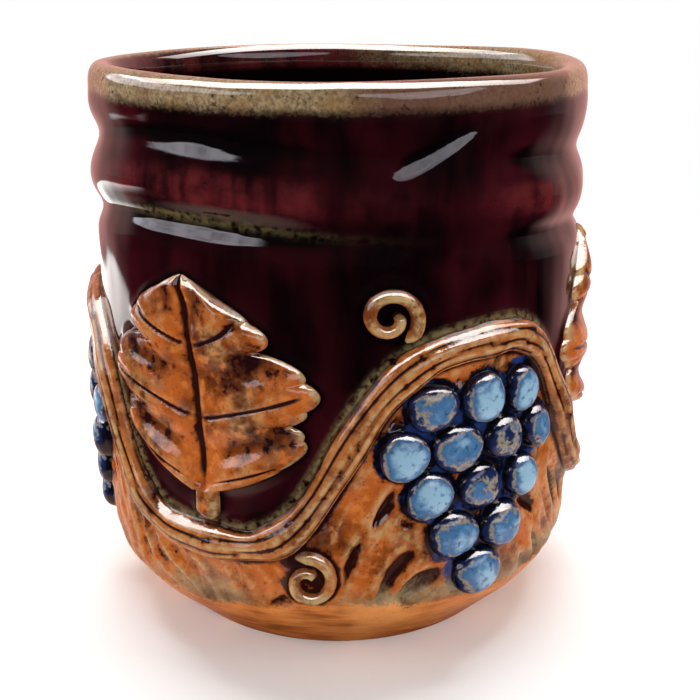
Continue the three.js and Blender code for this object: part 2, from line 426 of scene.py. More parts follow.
@dataclass(frozen=True)
class AmberGlaze:
    """Orange-brown glaze that pools to umber in hollows and breaks to tan on edges."""

    name: str
    deep: str = "572810"
    amber: str = "a2521f"
    bright: str = "ba6a30"
    pooled: str = "1a060a"
    broken: str = "a68a5e"
    veil: str = "6f6258"

    def paint(self, board: Board) -> Socket:
        """Mixes the glaze's colour from clouds, mottles and the marks.

        Args:
            board: The material that it goes in.

        Returns:
            The colour.
        """
        clouds = board.noise(110.0, 4.0)
        mottle = board.noise(520.0, 4.0)
        veils = board.noise(150.0, 5.0)
        grain = board.noise(2100.0, 2.0)
        paint = board.mix(board.step(clouds, 0.36, 0.56), colour(self.deep), colour(self.amber))
        paint = board.mix(board.step(mottle, 0.5, 0.68, 0.8), paint, colour(self.bright))
        paint = board.mix(board.step(veils, 0.6, 0.72, 0.45), paint, colour(self.veil))
        thin = board.maths("MULTIPLY", board.mark(Mark.BREAK), board.step(mottle, 0.36, 0.58))
        paint = board.mix(thin, paint, colour(self.broken))
        run = board.maths("ADD", board.mark(Mark.POOL), board.step(mottle, 0.5, 0.3, 0.35))
        paint = board.mix(board.step(run, 0.25, 0.7, 0.97), paint, colour(self.pooled))
        return board.mix(board.step(grain, 0.6, 0.72, 0.55), paint, colour(self.pooled))

    def material(self) -> Material:
        """Makes the material of a piece that is amber all over, duller where it is mottled.

        Returns:
            The material.
        """
        board = Board(bpy.data.materials.new(self.name))
        mottle = board.noise(700.0, 3.0)
        roughness = board.maths("ADD", board.step(mottle, 0.4, 0.75, 0.16), 0.06)
        return board.fire(self.paint(board), roughness, board.bump(mottle, 0.08))


@dataclass(frozen=True)
class BerryGlaze:
    """Blue glaze: pale and opaque on the crown, cobalt on the flank and nearly black in the joints."""

    pale: str = "7f9fb4"
    blue: str = "3a5f84"
    cobalt: str = "182349"
    ink: str = "0a090f"
    broken: str = "8a7d6a"

    def material(self) -> Material:
        """Lays the blues over each other from the joints to the crown, with a broken rim between.

        Returns:
            The material of the berries.
        """
        board = Board(bpy.data.materials.new("berry_glaze"))
        clouds = board.noise(260.0, 4.0)
        mottle = board.noise(900.0, 3.0)
        uneven = board.maths("MULTIPLY", board.maths("SUBTRACT", clouds, 0.5), 0.9)
        crown = board.maths("ADD", board.mark(Mark.CROWN), uneven)
        paint = board.mix(board.step(crown, 0.34, 0.6), colour(self.ink), colour(self.cobalt))
        paint = board.mix(board.step(crown, 0.62, 0.74), paint, colour(self.blue))
        rim = board.maths("MULTIPLY", board.step(crown, 0.58, 0.64), board.step(crown, 0.76, 0.68))
        rim = board.maths("MULTIPLY", rim, board.step(mottle, 0.38, 0.56))
        paint = board.mix(rim, paint, colour(self.broken))
        paint = board.mix(board.step(crown, 0.78, 1.02), paint, colour(self.pale))
        paint = board.mix(board.step(mottle, 0.54, 0.7, 0.6), paint, colour(self.cobalt))
        return board.fire(paint, 0.05, board.bump(mottle, 0.07))


@dataclass(frozen=True)
class PotGlaze:
    """Dark red glaze, amber below the vine, tan on the lip, and bare clay at the foot."""

    ink: str = "080204"
    wine: str = "310910"
    rust: str = "541b1e"
    # pooled glaze, and painted shade on the inside of the cup
    black: str = "050203"
    olive: str = "7e6c4a"
    navy: str = "080812"
    cobalt: str = "1d3060"
    lip_tan: str = "574430"
    lip_pale: str = "9e8869"
    lip_ochre: str = "7c5c32"
    lip_pink: str = "56382f"
    lip_shade: str = "17100c"
    speckle: str = "2a1a14"
    clay: str = "c47030"
    clay_pale: str = "d48a4a"
    clay_dark: str = "8a481c"
    ash: str = "664a2e"
    ash_pale: str = "93805c"

    def red(self, board: Board) -> Socket:
        """Mixes the dark red: clouds of wine in ink, rust where it is thin, and black where it pools and,
        inside the cup, as painted shade.

        Args:
            board: The material that it goes in.

        Returns:
            The colour.
        """
        clouds = board.noise(42.0, 3.0)
        runs = board.noise(160.0, 3.0, 0.2)
        share = board.maths("ADD", board.step(clouds, 0.4, 0.64, 0.7), board.step(runs, 0.4, 0.65, 0.3))
        paint = board.mix(share, colour(self.ink), colour(self.wine))
        mottle = board.noise(330.0, 4.0)
        streaks = board.maths("MULTIPLY", board.step(runs, 0.3, 0.6), board.step(mottle, 0.2, 0.62))
        thin = board.maths("MULTIPLY", board.mark(Mark.BREAK), streaks)
        paint = board.mix(thin, paint, colour(self.rust))
        # black where glaze pools, and painted shade inside the cup
        paint = board.mix(board.step(board.mark(Mark.POOL), 0.2, 0.9, 0.97), paint, colour(self.black))
        flecks = board.noise(900.0, 5.0)
        rim = board.maths("MULTIPLY", board.mark(Mark.OLIVE), board.step(flecks, 0.32, 0.62))
        return board.mix(rim, paint, colour(self.olive))

    def foot(self, board: Board) -> Socket:
        """Mixes the bare clay: level trimming lines, pale clouds and small dark specks.

        Args:
            board: The material that it goes in.

        Returns:
            The colour.
        """
        lines = board.noise(150.0, 4.0, 9.0)
        clouds = board.noise(70.0, 3.0)
        specks = board.noise(1300.0, 2.0)
        paint = board.mix(board.step(lines, 0.34, 0.66), colour(self.clay_dark), colour(self.clay))
        paint = board.mix(board.step(clouds, 0.45, 0.7, 0.8), paint, colour(self.clay_pale))
        return board.mix(board.step(specks, 0.62, 0.74, 0.6), paint, colour(self.clay_dark))

    def lip(self, board: Board) -> Socket:
        """Mixes the lip's thin glaze: sandy grains of tan, ochre clouds and specks of iron.

        Clouds of pink-brown lie on it too, most of them at the front right.

        Args:
            board: The material that it goes in.

        Returns:
            The colour.
        """
        clouds = board.noise(210.0, 4.0)
        grain = board.noise(1700.0, 3.0)
        specks = board.noise(1100.0, 4.0)
        spot = board.add("ShaderNodeSeparateXYZ", {"Vector": board.place}).outputs
        front_right = board.maths(
            "MULTIPLY",
            board.step(spot["X"], -0.01, 0.016),
            board.step(spot["X"], 0.039, 0.032),
            board.step(spot["Y"], 0.0, -0.012, 0.42),
        )
        tinge = board.maths("ADD", board.noise(60.0, 3.0), front_right)
        paint = board.mix(board.step(grain, 0.2, 0.8), colour(self.lip_tan), colour(self.lip_pale))
        paint = board.mix(board.step(clouds, 0.46, 0.66, 0.6), paint, colour(self.lip_ochre))
        paint = board.mix(board.step(tinge, 0.56, 0.76, 0.85), paint, colour(self.lip_pink))
        return board.mix(board.step(specks, 0.58, 0.7, 0.8), paint, colour(self.speckle))

    def material(self) -> Material:
        """Lays the colours over each other by the marks, with a duller surface on ash and bare clay.

        Returns:
            The material of the pot.
        """
        board = Board(bpy.data.materials.new("pot_glaze"))
        ragged = board.noise(240.0, 4.0)
        shift = board.maths("SUBTRACT", ragged, 0.5)
        fine = board.noise(1100.0, 3.0)
        dust = board.maths("SUBTRACT", board.noise(1900.0, 3.0), 0.5)

        def edge(mark: Mark, reach: float, fuzz: float = 0.0, soft: float = 0.12) -> Socket:
            """Turns a mark into a coat with a ragged edge.

            Args:
                mark: The mark.
                reach: How far clouds move the edge.
                fuzz: How far fine dust moves it.
                soft: Half the width over which the coat thins out.

            Returns:
                How far the coat covers, from 0 to 1.
            """
            value = board.mark(mark)
            clouds = board.maths("MULTIPLY", shift, reach)
            moved = board.maths("ADD", value, clouds, board.maths("MULTIPLY", dust, fuzz))
            coat = board.step(moved, 0.5 - soft, 0.5 + soft)
            return board.maths("MULTIPLY", coat, board.step(value, 0.0, 0.2))

        paint = board.mix(edge(Mark.AMBER, 0.8), self.red(board), AmberGlaze("ground").paint(board))
        blue = board.mix(board.step(ragged, 0.5, 0.62), colour(self.navy), colour(self.cobalt))
        paint = board.mix(edge(Mark.BLUE, 1.2, 0.5), paint, blue)
        ash = board.mix(board.step(shift, -0.12, 0.14), colour(self.ash), colour(self.ash_pale))
        ash = board.mix(board.step(fine, 0.58, 0.72, 0.7), ash, colour(self.speckle))
        ashen = board.maths("MULTIPLY", edge(Mark.ASH, 1.0, 0.6, 0.4), 0.8)
        paint = board.mix(ashen, paint, ash)
        bare = edge(Mark.BARE, 0.9, 0.7, 0.2)
        paint = board.mix(bare, paint, self.foot(board))
        shade = board.step(board.mark(Mark.LIP), 0.05, 0.5, 0.8)
        paint = board.mix(shade, paint, colour(self.lip_shade))
        lip = edge(Mark.LIP, 0.6, 0.55, 0.42)
        paint = board.mix(lip, paint, self.lip(board))
        roughness = board.blend(bare, 0.04, 0.36)
        roughness = board.blend(ashen, roughness, 0.3)
        roughness = board.blend(lip, roughness, 0.06)
        lines = board.noise(260.0, 3.0, 8.0)
        relief = board.maths("MULTIPLY", lines, bare, 2.0)
        dull = board.maths("ADD", bare, 0.12)
        relief = board.maths("ADD", relief, board.maths("MULTIPLY", fine, dull))
        return board.fire(paint, roughness, board.bump(relief, 0.03))


@dataclass(frozen=True)
class Ring:
    """A ring left by the potter's fingers, a bell curve up the wall."""

    below: float  # the crest of the lip
    rise: float
    spread: float
    climb: float = 0.0  # how much higher it lies where the rings climb


@dataclass(frozen=True)
class Dent:
    """A short slanting mark left by a fingertip."""

    angle: float = math.radians(292.0)
    z: float = 86.3
    slant: float = math.radians(25.0)
    length: float = 8.0
    width: float = 1.5
    depth: float = 0.7

    def at(self, aside: Array, up: Array) -> Array:
        """Sinks a bell curve across the mark by another along it.

        Args:
            aside: Distances round the wall from its middle.
            up: Heights above its middle.

        Returns:
            Depths.
        """
        along = aside * math.cos(self.slant) + up * math.sin(self.slant)
        across = up * math.cos(self.slant) - aside * math.sin(self.slant)
        return self.depth * bell(across, self.width) * np.exp(-((along / self.length) ** 4))


@dataclass(frozen=True)
class Wall:
    """The outside of the pot: its radius at any angle and height."""

    height: float = 95.0
    radius: float = 42.0
    foot_radius: float = 29.7
    bevel_run: float = 1.05
    hip_rounding: float = 5.0
    rings: tuple[Ring, ...] = (
        Ring(6.0, 0.5, 3.4),
        Ring(13.6, -1.15, 2.7, 7.0),
        Ring(19.3, 0.7, 3.2, 4.5),
        Ring(25.5, -1.2, 2.2, 6.2),
    )
    climb_angle: float = math.radians(238.0)
    climb_spread: float = math.radians(44.0)
    wiped_angle: float = math.radians(296.0)  # where a hand has wiped the rings nearly flat
    wiped_spread: float = math.radians(24.0)
    wiped: float = 0.85
    dent: Dent = Dent()
    drift: Wobble = Wobble(11, 0.7, (2, 6), 0.0)  # of the rings' heights
    swell: Wobble = Wobble(12, 0.25, (2, 6), 0.1)  # share by which a ring's rise changes
    sway: Wobble = Wobble(13, 0.22, (2, 5), 0.05)
    ripple: Wobble = Wobble(14, 0.05, (7, 24), 0.5, 24)
    runs: Wobble = Wobble(15, 0.006, (30, 70), 0.02, 24)  # glaze that has run down
    runs_begin: Band = (40.0, 60.0)
    uneven_begins: Band = (1.0, 9.0)

    @property
    def lap(self) -> float:
        """Length of the wall once round."""
        return TURN * self.radius

    def apart(self, angle: Array, middle: float) -> Array:
        """Turn from one angle to others, by the shorter way round."""
        return (angle - middle + math.pi) % TURN - math.pi

    def climbed(self, angle: Array) -> Array:
        """Share by which the rings have climbed at an angle, a bell curve about the front left."""
        return bell(self.apart(angle, self.climb_angle), self.climb_spread)

    def past(self, angle: Array, z: Array, ring: Ring) -> Array:
        """How far a place lies below the middle of a ring, which drifts and climbs round the pot."""
        down = self.height - z - self.drift.at(angle, 0.0)
        return down - ring.below + ring.climb * self.climbed(angle)

    def ring_lift(self, angle: Array, z: Array) -> Array:
        """Sums the rings, each a bell curve about its own height, and sinks the dent.

        Args:
            angle: Angles round the pot.
            z: Heights.

        Returns:
            How far the rings lift the surface from the plain wall.
        """
        lift = sum(ring.rise * bell(self.past(angle, z, ring), ring.spread) for ring in self.rings)
        left = 1.0 - self.wiped * bell(self.apart(angle, self.wiped_angle), self.wiped_spread)
        aside = self.apart(angle, self.dent.angle) * self.radius
        dent = self.dent.at(aside, z - self.dent.z)
        return (1.0 + self.swell.at(angle, z)) * left * lift - dent

    def outside(self, angle: Array, z: Array) -> Array:
        """Takes the smaller of a straight bevel and the ringed wall, rounded where they meet.

        Args:
            angle: Angles round the pot.
            z: Heights.

        Returns:
            Radii of the bare wall, without its relief.
        """
        uneven = self.sway.at(angle, z) + self.ripple.at(angle, z)
        uneven = uneven + self.runs.at(angle, z) * smooth(*self.runs_begin, z)
        bevel = self.foot_radius + self.bevel_run * z
        wall = self.radius + self.ring_lift(angle, z)
        apart = np.maximum(self.hip_rounding - np.abs(bevel - wall), 0.0) / self.hip_rounding
        radius = np.minimum(bevel, wall) - apart * apart * self.hip_rounding / 4.0
        return radius + uneven * smooth(*self.uneven_begins, z)


@dataclass(frozen=True)
class Scroll:
    """The plan of the relief on the unrolled wall, and how a place on it lies on the pot."""

    wall: Wall
    turn: float = math.radians(32.0)
    waves: int = 3
    middle: float = 39.76  # height of the vine's middle line
    swing: float = 16.0
    squareness: float = 0.11
    vine_width: float = 5.4
    top: float = 66.8
    slip: float = 0.3  # joint beside the vine
    shift_begins: Band = (6.0, 18.0)
    shift_ends: Band = (68.0, 80.0)
    lip_begins: Band = (76.0, 90.0)
    shift_round: Wobble = Wobble(21, 0.45, (3, 8), 0.06)
    shift_up: Wobble = Wobble(22, 0.45, (3, 8), 0.06)
    lip_rise: Wobble = Wobble(23, 0.18, (2, 5), 0.0)

    @property
    def wave(self) -> float:
        """Length of one wave of the vine."""
        return self.wall.lap / self.waves

    def vine_height(self, x: Array) -> Array:
        """Height of the vine's middle line: a sine with a share of its third harmonic.

        Args:
            x: Distances round the wall.

        Returns:
            Heights.
        """
        phase = TURN * x / self.wave
        tall = self.swing / (1.0 - self.squareness)
        return self.middle + tall * (np.sin(phase) + self.squareness * np.sin(3.0 * phase))

    def vine_normal(self, x: Array) -> tuple[Array, Array]:
        """Unit normal of the vine's middle line, from the slope of its formula.

        Args:
            x: Distances round the wall.

        Returns:
            The normal's parts round the wall and upwards.
        """
        phase = TURN * x / self.wave
        tall = self.swing / (1.0 - self.squareness)
        run = np.cos(phase) + 3.0 * self.squareness * np.cos(3.0 * phase)
        slope = TURN * tall / self.wave * run
        long = np.sqrt(1.0 + slope * slope)
        return -slope / long, 1.0 / long

    def angle(self, x: Array) -> Array:
        """Angle round the pot of a distance round the wall."""
        return x / self.wall.radius + self.turn

    def nudge(self, x: Array, z: Array) -> tuple[Array, Array]:
        """Shifts a place a little, as work done by eye is off, and lifts the lip unevenly.

        Args:
            x: Distances round the wall.
            z: Heights.

        Returns:
            The shifted angles and heights.
        """
        angle = self.angle(x)
        share = smooth(*self.shift_begins, z) * (1.0 - smooth(*self.shift_ends, z))
        up = self.shift_up.at(angle, z) * share
        up = up + self.lip_rise.at(angle, 0.0) * smooth(*self.lip_begins, z)
        return angle + self.shift_round.at(angle, z) * share / self.wall.radius, z + up

    def place(self, x: Array, z: Array, out: Array) -> Array:
        """Lays places of the plan on the pot.

        Args:
            x: Distances round the wall.
            z: Heights.
            out: Distances out from the wall.

        Returns:
            Points in space, with the three coordinates last.
        """
        angle, high = self.nudge(x, z)
        radius = self.wall.outside(angle, high) + out
        return np.stack([radius * np.cos(angle), radius * np.sin(angle), high + 0.0 * radius], axis=-1)


@dataclass
class Vine:
    """One rolled coil, pressed on, that waves round the pot, with bark scored along it."""

    scroll: Scroll
    height: float = 2.7
    sink: float = 0.5
    steps: int = 780
    sides: int = 30
    score: float = 0.17  # depth of the bark lines
    strands: int = 9
    knots: tuple[float, ...] = (0.125, 0.75, 0.875)  # shares of a wave where a leaf or a tendril leaves
    knot_length: float = 3.2
    knot_swell: float = 0.16
    path_steps: int = 700
    uneven: Wobble = Wobble(31, 0.06, (9, 40), 0.0)
    twist: Wobble = Wobble(32, 1.54, (3, 8), 0.0)

    def distance(self, x: Array, z: Array) -> Array:
        """Distance from places on the plan to the coil's edge, negative under it.

        Args:
            x: Distances round the wall.
            z: Heights.

        Returns:
            Signed distances.
        """
        lap = self.scroll.wall.lap
        path = np.linspace(0.0, lap, self.path_steps, endpoint=False)
        return nearest(x, z, path, self.scroll.vine_height(path), lap) - self.scroll.vine_width / 2.0

    def skin(self) -> Skin:
        """Carries a half-round section with a sunk flat back along the vine's line.

        The bark is a wave round the section that twists along the coil, and the coil swells at each place
        where a leaf or a tendril leaves it.

        Returns:
            The coil as a closed ring.
        """
        plan = self.scroll
        x = np.linspace(0.0, plan.wall.lap, self.steps, endpoint=False)[:, None]
        turn = np.linspace(0.0, TURN, self.sides, endpoint=False)[None, :]
        angle = plan.angle(x)
        share = (x / plan.wave) % 1.0
        knots = sum(bell((share - knot) * plan.wave, self.knot_length) for knot in self.knots)
        girth = 1.0 + self.uneven.at(angle, 0.0) + self.knot_swell * knots
        bark = np.cos(self.strands * turn + self.twist.at(angle, 0.0))
        front = np.maximum(np.sin(turn), 0.0)
        across = 0.5 * plan.vine_width * girth * np.cos(turn)
        out = self.height * girth * front + self.sink * np.minimum(np.sin(turn), 0.0)
        out = out + self.score * bark * smooth(0.1, 0.5, front)
        side, up = plan.vine_normal(x)
        points = plan.place(x + across * side, plan.vine_height(x) + across * up, out)
        scored = smooth(-0.15, -0.95, bark) * smooth(0.15, 0.5, front)
        pool = np.maximum(scored * 0.8, 1.0 - smooth(0.0, 0.42, front))
        thin = smooth(0.2, 0.9, bark) * smooth(0.55, 0.95, front)
        return Skin(points, {Mark.POOL: pool, Mark.BREAK: thin}, looped=True)

    def build(self, finish: Material) -> None:
        """Makes the coil and fits it in place of its node."""
        fit(make_piece("vine_coil", [self.skin()], finish), ["vine"])


@dataclass
class Leaf:
    """A moulded leaf on a stalk in a hollow above the vine, with its veins cut in."""

    scroll: Scroll
    number: int
    width: float = 40.0
    crest: float = 2.9
    edge: float = 1.1
    curl: float = 4.0
    lobes: int = 3
    notch: float = 0.3
    slant: float = 0.16
    stalk_length: float = 6.0
    stalk_width: float = 4.0
    stalk_height: float = 1.9
    tooth: float = 0.07  # share of the width that the teeth cut in
    teeth: float = 2.5  # to each lobe
    rib_width: float = 0.7
    rib_depth: float = 0.5
    vein_width: float = 0.55
    vein_depth: float = 0.42
    end_share: float = 0.05
    sink: float = 0.5
    rows: int = 150
    sides: int = 112

    @property
    def middle(self) -> float:
        """Distance round the wall to the leaf's stalk."""
        return (self.number - 0.25) * self.scroll.wave

    @property
    def bottom(self) -> float:
        """Height of the stalk's foot, on the vine."""
        return self.scroll.middle - self.scroll.swing + self.scroll.vine_width / 2.0 + self.scroll.slip

    @property
    def length(self) -> float:
        """Length from the stalk's foot to the tip."""
        return self.scroll.top - self.bottom

    def blade(self, v: Array) -> Array:
        """Share of the way along the blade, 0 on the stalk and 1 at the tip."""
        stalk = self.stalk_length / self.length
        return np.maximum(0.0, (v - stalk) / (1.0 - stalk))

    def half(self, v: Array) -> Array:
        """Half the leaf's width: a swelling that narrows to the tip, with notched lobes and small teeth.

        Args:
            v: Shares of the leaf's length.

        Returns:
            Half widths in millimetres.
        """
        blade = self.blade(v)
        swelling = np.sin(math.pi * np.minimum(blade, 1.0) ** 0.8).clip(0.0) ** 0.8
        lobe = np.sqrt(np.abs(np.sin(math.pi * self.lobes * blade)))
        teeth = 1.0 - np.abs(np.sin(math.pi * self.teeth * self.lobes * blade)) ** 0.7
        cut = self.notch * (1.0 - lobe) + self.tooth * teeth
        shape = 1.0 - cut * np.minimum(1.0, 3.0 * blade)
        stalk = self.stalk_width / 2.0 * rounded(v, self.end_share) * np.maximum(0.0, 1.0 - 4.0 * blade)
        return np.maximum(self.width / 2.0 * swelling * shape, stalk)

    def centre(self, v: Array) -> Array:
        """Place of the midrib round the wall, which curls aside with the square of the length."""
        return self.middle - self.curl * v * v

    def distance(self, x: Array, z: Array) -> Array:
        """Distance from places on the plan to the leaf's outline, negative under the leaf.

        Args:
            x: Distances round the wall.
            z: Heights.

        Returns:
            Signed distances.
        """
        lap = self.scroll.wall.lap
        v = np.linspace(0.0, 1.0, 240)
        half, centre, up = self.half(v), self.centre(v), self.bottom + self.length * v
        line_x = np.concatenate([centre - half, centre + half])
        apart = nearest(x, z, line_x, np.concatenate([up, up]), lap)
        share = (z - self.bottom) / self.length
        aside = x - self.centre(share)
        aside = np.abs(aside - lap * np.round(aside / lap))
        inside = (share > 0.0) & (share < 1.0) & (aside < self.half(np.clip(share, 0.0, 1.0)))
        return np.where(inside, -apart, apart)

    def skin(self) -> Skin:
        """Carries a section along the leaf: pillowed in front from edge to edge, and sunk at the back.

        Each half of the front swells as a sine from the midrib to the edge. Broad valleys part the lobes,
        and narrow grooves are the midrib and the vein along each lobe.

        Returns:
            The leaf, closed at its tip and at the foot of its stalk.
        """
        v = np.linspace(0.0, 1.0, self.rows)[:, None]
        turn = np.linspace(0.0, TURN, self.sides, endpoint=False)[None, :]
        across = np.cos(turn)
        reach = np.abs(across)
        in_front = np.sin(turn) >= 0.0
        blade, half = self.blade(v), self.half(v)
        on_blade = smooth(0.0, 0.12, blade)
        order = self.lobes * (blade + self.slant * (1.0 - reach))
        valley = np.cos(math.pi * order) ** 4 * on_blade
        vein_gap = (order - np.floor(order) - 0.5) * self.length / self.lobes
        vein = bell(vein_gap, self.vein_width) * smooth(0.02, 0.1, reach) * on_blade
        vein = vein * (1.0 - smooth(0.75, 0.97, reach))
        rib = bell(across * half, self.rib_width) * on_blade
        pillow = np.sin(math.pi * reach) ** 0.8
        front = self.edge + (self.crest - self.edge) * pillow * (1.0 - 0.55 * valley)
        front = front - self.rib_depth * rib - self.vein_depth * vein - 0.3 * valley * pillow
        front = np.where(blade > 0.0, front, self.stalk_height * np.sqrt(1.0 - reach**2))
        rim = np.sqrt(1.0 - reach**14)
        ends = rounded(v, self.end_share)
        over = (front * rim + self.sink) * ends - self.sink
        out = np.where(in_front, over, -self.sink + 0.3 * np.sin(turn) * ends)
        x = self.centre(v) + half * across
        points = self.scroll.place(x, self.bottom + self.length * v + 0.0 * turn, out)
        edge_gap = (1.0 - reach) * half
        pool = np.maximum(np.maximum(rib, 0.9 * vein), 0.55 * valley * smooth(0.05, 0.3, reach))
        pool = np.where(in_front, pool * (1.0 - bell(edge_gap, 0.8)), 0.0)
        thin = np.maximum(bell(edge_gap - 0.5, 0.6), 0.35 * smooth(0.6, 1.0, pillow) * (1.0 - valley))
        thin = thin * (1.0 - pool) + 0.0 * v
        return Skin(points, {Mark.POOL: pool, Mark.BREAK: thin})

    def build(self, finish: Material) -> None:
        """Makes the leaf and fits it in place of its node."""
        piece = make_piece(f"moulded_leaf_{self.number}", [self.skin()], finish)
        fit(piece, [f"leaf_{self.number}"])


@dataclass
class Bunch:
    """Pressed pellets in nested rows that narrow to one, in a hollow below the vine."""

    scroll: Scroll
    number: int
    rows: tuple[int, ...] = (3, 4, 3, 2, 1)
    drop: float = 2.5
    berry: float = 8.1
    gap: float = 0.4
    height: float = 2.8
    sink: float = 0.5
    widths: Band = (0.93, 1.05)  # least and greatest, for chance to choose between
    heights: Band = (0.85, 1.2)
    crowns: Band = (0.72, 1.1)
    seed: int = 40
    rings: int = 26
    sides: int = 44

    def places(self) -> Array:
        """Middles of the berries: rows a pitch apart, each set half a pitch from the one above.

        Returns:
            Distance round the wall and height of each berry.
        """
        pitch = self.berry + self.gap
        top = self.scroll.middle + self.scroll.swing - self.scroll.vine_width / 2.0 - self.drop
        middle = (self.number - 0.75) * self.scroll.wave
        spots = [
            (middle + (k - (size - 1) / 2.0) * pitch, top - self.berry / 2.0 - row * pitch * math.sqrt(0.75))
            for row, size in enumerate(self.rows)
            for k in range(size)
        ]
        return np.array(spots)

    def distance(self, x: Array, z: Array) -> Array:
        """Distance from places on the plan to the nearest berry's edge, negative under it."""
        spots = self.places()
        return nearest(x, z, spots[:, 0], spots[:, 1], self.scroll.wall.lap) - self.berry / 2.0

    def skin(self, spot: Array, rng: np.random.Generator) -> Skin:
        """Shapes one berry: a flattened dome, a little off round, with its back sunk in the wall.

        Args:
            spot: Its middle on the plan.
            rng: Seeded chance for its size, height and outline.

        Returns:
            The closed berry.
        """
        wide, tall = rng.uniform(*self.widths), rng.uniform(*self.heights)
        phase = rng.uniform(0.0, TURN, 3)
        turn = np.linspace(0.0, TURN, self.sides, endpoint=False)[None, :]
        arc = np.linspace(0.0, math.pi, self.rings)[:, None]
        lump = 1.0 + 0.035 * np.cos(2.0 * turn + phase[0]) + 0.03 * np.cos(3.0 * turn + phase[1])
        reach = 0.5 * self.berry * wide * lump * np.sin(arc) ** 0.85
        dome = np.cos(arc)
        out = np.where(dome > 0.0, self.height * tall * np.abs(dome) ** 0.8, self.sink * dome)
        out = out + 0.12 * np.sin(arc) ** 2 * np.cos(turn + phase[2]) * (dome > 0.0)
        x = spot[0] + reach * np.cos(turn)
        points = self.scroll.place(x, spot[1] + reach * np.sin(turn), out)
        crown = np.maximum(dome, 0.0) ** 0.8 + 0.0 * turn
        return Skin(points, {Mark.CROWN: crown * rng.uniform(*self.crowns)})

    def build(self, finish: Material) -> None:
        """Makes the bunch and fits it in place of its berries' nodes.

        Args:
            finish: The material that it wears.
        """
        rng = np.random.default_rng(self.seed + self.number)
        skins = [self.skin(spot, rng) for spot in self.places()]
        piece = make_piece(f"berry_bunch_{self.number}", skins, finish)
        fit(piece, [f"berry_{self.number}_{k + 1}" for k in range(len(skins))])


@dataclass
class Tendril:
    """A thin coil that leaves the vine on the outer side of a bend and curls up on itself."""

    scroll: Scroll
    number: int
    side: Side
    width: float = 2.4
    tip_width: float = 1.8
    height: float = 1.8
    radius: float = 4.5
    eye: float = 1.2
    turns: float = 1.25
    shift: float = 0.125
    end_share: float = 0.06
    path_steps: int = 90
    sink: float = 0.5
    steps: int = 150
    sides: int = 20

    def line(self, v: Array, aside: Array) -> tuple[Array, Array]:
        """Follows a tightening spiral that starts alongside the vine.

        Args:
            v: Shares of the curl's length.
            aside: Distances out from the spiral's middle line.

        Returns:
            Distances round the wall and heights.
        """
        plan = self.scroll
        high = self.side is Side.HIGH
        bend = self.number - 0.75 - self.shift if high else self.number - 0.25 + self.shift
        start = np.array(bend * plan.wave)
        along_up, along_x = plan.vine_normal(start)
        away_x, away_up = self.side.value * along_up, self.side.value * along_x
        reach = plan.vine_width / 2.0 + plan.slip + self.width / 2.0 + self.radius
        turn = TURN * self.turns * v
        radius = self.radius + (self.eye - self.radius) * v + aside
        out_x = -away_x * np.cos(turn) + along_x * np.sin(turn)
        out_up = -away_up * np.cos(turn) - along_up * np.sin(turn)
        x = start + away_x * reach + radius * out_x
        return x, plan.vine_height(start) + away_up * reach + radius * out_up

    def distance(self, x: Array, z: Array) -> Array:
        """Distance from places on the plan to the curl's edge, negative under it.

        Args:
            x: Distances round the wall.
            z: Heights.

        Returns:
            Signed distances.
        """
        v = np.linspace(0.0, 1.0, self.path_steps)
        line_x, line_z = self.line(v, np.zeros_like(v))
        return nearest(x, z, line_x, line_z, self.scroll.wall.lap) - self.width / 2.0

    def skin(self) -> Skin:
        """Carries a tapering half-round section with a sunk back along the spiral.

        Returns:
            The curl, closed at both ends.
        """
        v = np.linspace(0.0, 1.0, self.steps)[:, None]
        turn = np.linspace(0.0, TURN, self.sides, endpoint=False)[None, :]
        ends = rounded(v, self.end_share)
        width = (self.width + (self.tip_width - self.width) * v) * ends
        front = np.maximum(np.sin(turn), 0.0)
        x, z = self.line(v, 0.5 * width * np.cos(turn))
        back = self.sink * np.minimum(np.sin(turn), 0.0)
        out = (self.height * front + back + self.sink) * ends - self.sink
        pool = (1.0 - smooth(0.0, 0.5, front)) + 0.0 * v
        thin = smooth(0.6, 0.98, front) + 0.0 * v
        return Skin(self.scroll.place(x, z, out), {Mark.POOL: pool, Mark.BREAK: thin})

    def build(self, finish: Material) -> None:
        """Makes the curl and fits it in place of its node."""
        name = f"{self.side.name.lower()}_{self.number}"
        fit(make_piece(f"curl_{name}", [self.skin()], finish), [f"tendril_{name}"])


@dataclass
class Relief:
    """All that is pressed on the wall."""

    scroll: Scroll
    vine: Vine = field(init=False)
    leaves: list[Leaf] = field(init=False)
    bunches: list[Bunch] = field(init=False)
    tendrils: list[Tendril] = field(init=False)

    def __post_init__(self) -> None:
        """Plans the pieces, one leaf, one bunch and two tendrils to each wave."""
        numbers = range(1, self.scroll.waves + 1)
        self.vine = Vine(self.scroll)
        self.leaves = [Leaf(self.scroll, n) for n in numbers]
        self.bunches = [Bunch(self.scroll, n) for n in numbers]
        self.tendrils = [Tendril(self.scroll, n, side) for n in numbers for side in Side]

    def build(self) -> None:
        """Makes every piece in its finish."""
        bark = AmberGlaze("vine_glaze", deep="6a3418", amber="9a5a2c", bright="b87a48").material()
        leaf = AmberGlaze("leaf_glaze").material()
        berry = BerryGlaze().material()
        self.vine.build(bark)
        for piece in self.leaves:
            piece.build(leaf)
        for piece in self.bunches:
            piece.build(berry)
        for piece in self.tendrils:
            piece.build(bark)


